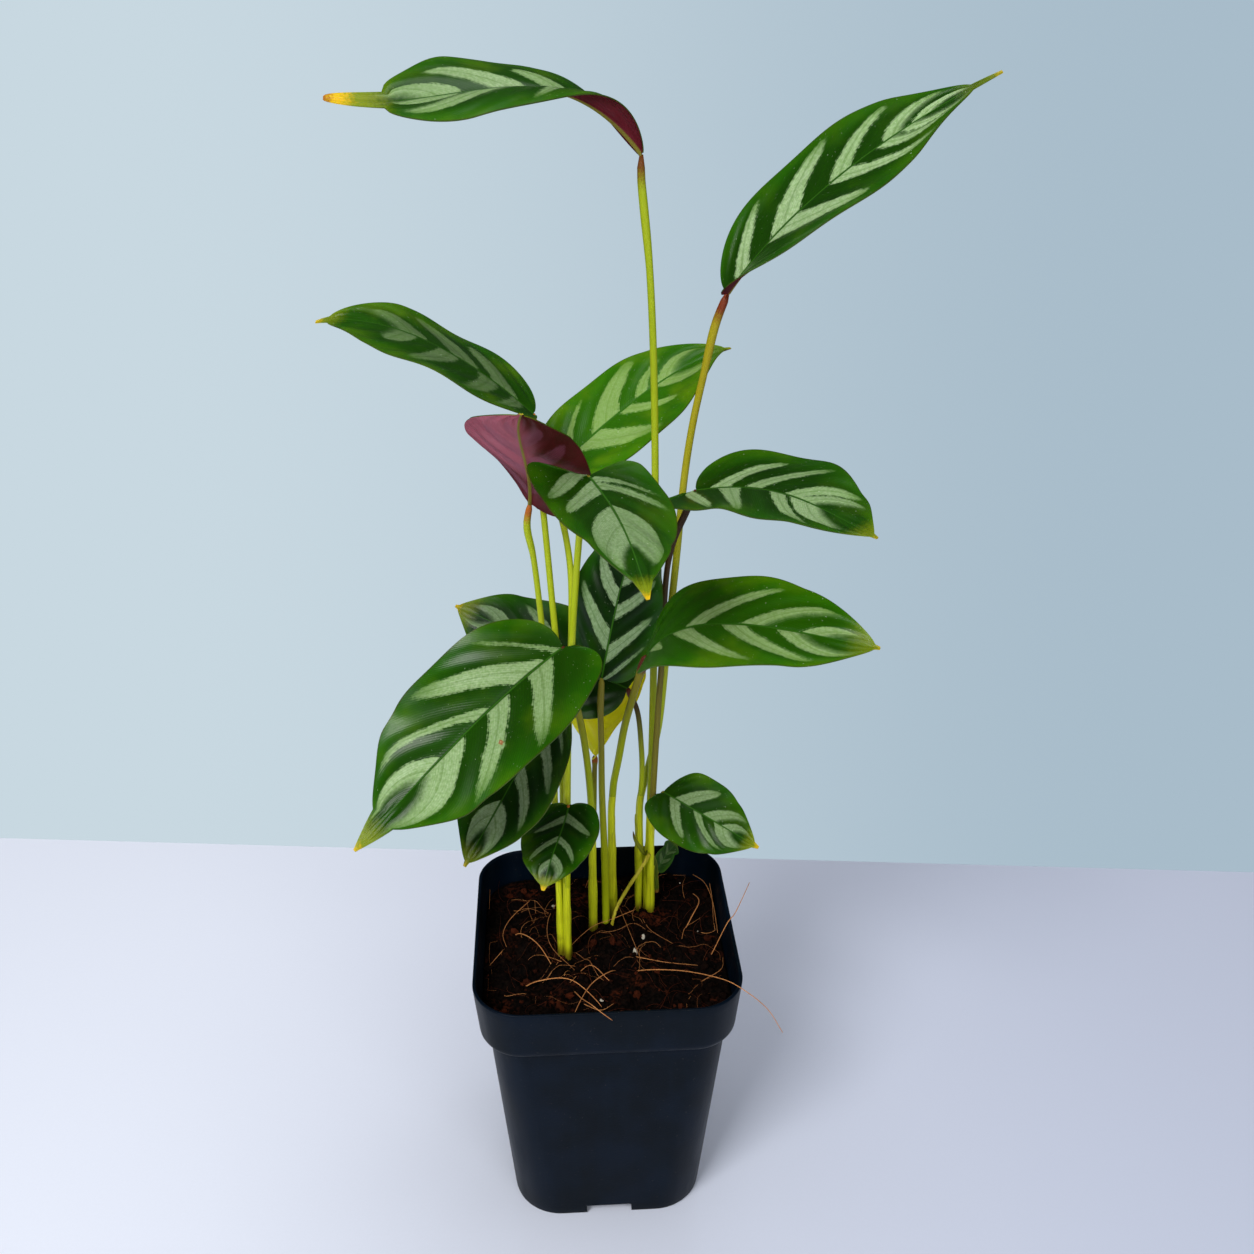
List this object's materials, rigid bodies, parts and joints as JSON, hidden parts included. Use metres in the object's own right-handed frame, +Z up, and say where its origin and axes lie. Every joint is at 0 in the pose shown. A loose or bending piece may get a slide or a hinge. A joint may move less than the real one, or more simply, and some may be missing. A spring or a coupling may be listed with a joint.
{
  "type": "potted calathea plant",
  "caption": "Young compact star calathea with waved, silver-striped leaves on slender upright stalks, in a square black plastic nursery pot.",
  "frame": {"origin": "middle of the pot's flat base, on the surface that the pot stands on", "axes": "+Z up along the pot's axis, the side that the picture shows faces -Y, +X to its right"},
  "size_m": [0.2144, 0.1503, 0.4244],
  "materials": {
    "pot": "satin moulded polypropylene, near-black blue",
    "soil": "moist dark peat with coir strands",
    "leaf": "glossy dark green with silver-green bands, burgundy beneath",
    "yellow_leaf": "yellow dying leaf",
    "stalk": "smooth yellow-green stem",
    "dark_stalk": "smooth dark brown stem",
    "dry_leaf": "dried yellow leaf remains"
  },
  "bodies": {
    "root": {"pot": "pot", "soil": "soil", "sheath_left": "stalk", "sheath_middle_left": "stalk", "sheath_middle_right": "stalk", "sheath_right_back": "stalk", "sheath_right_front": "stalk", "stalk_top_left": "stalk", "blade_top_left": "leaf", "stalk_top_right": "stalk", "blade_top_right": "leaf", "stalk_left": "stalk", "blade_left": "leaf", "stalk_mauve": "stalk", "blade_mauve": "leaf", "stalk_back_right": "stalk", "blade_back_right": "leaf", "stalk_middle": "stalk", "blade_middle": "leaf", "stalk_right": "dark_stalk", "blade_right": "leaf", "stalk_lower_right": "stalk", "blade_lower_right": "leaf", "stalk_upright": "stalk", "blade_upright": "leaf", "stalk_back_left": "dark_stalk", "blade_back_left": "leaf", "stalk_front_left": "stalk", "blade_front_left": "leaf", "stalk_front_left_under": "stalk", "blade_front_left_under": "leaf", "stalk_small_heart": "stalk", "blade_small_heart": "leaf", "stalk_small_right": "stalk", "blade_small_right": "leaf", "stalk_yellow": "dark_stalk", "blade_yellow": "yellow_leaf", "stalk_baby": "stalk", "blade_baby": "leaf", "dry_stem": "dry_leaf"}
  },
  "joints": []
}
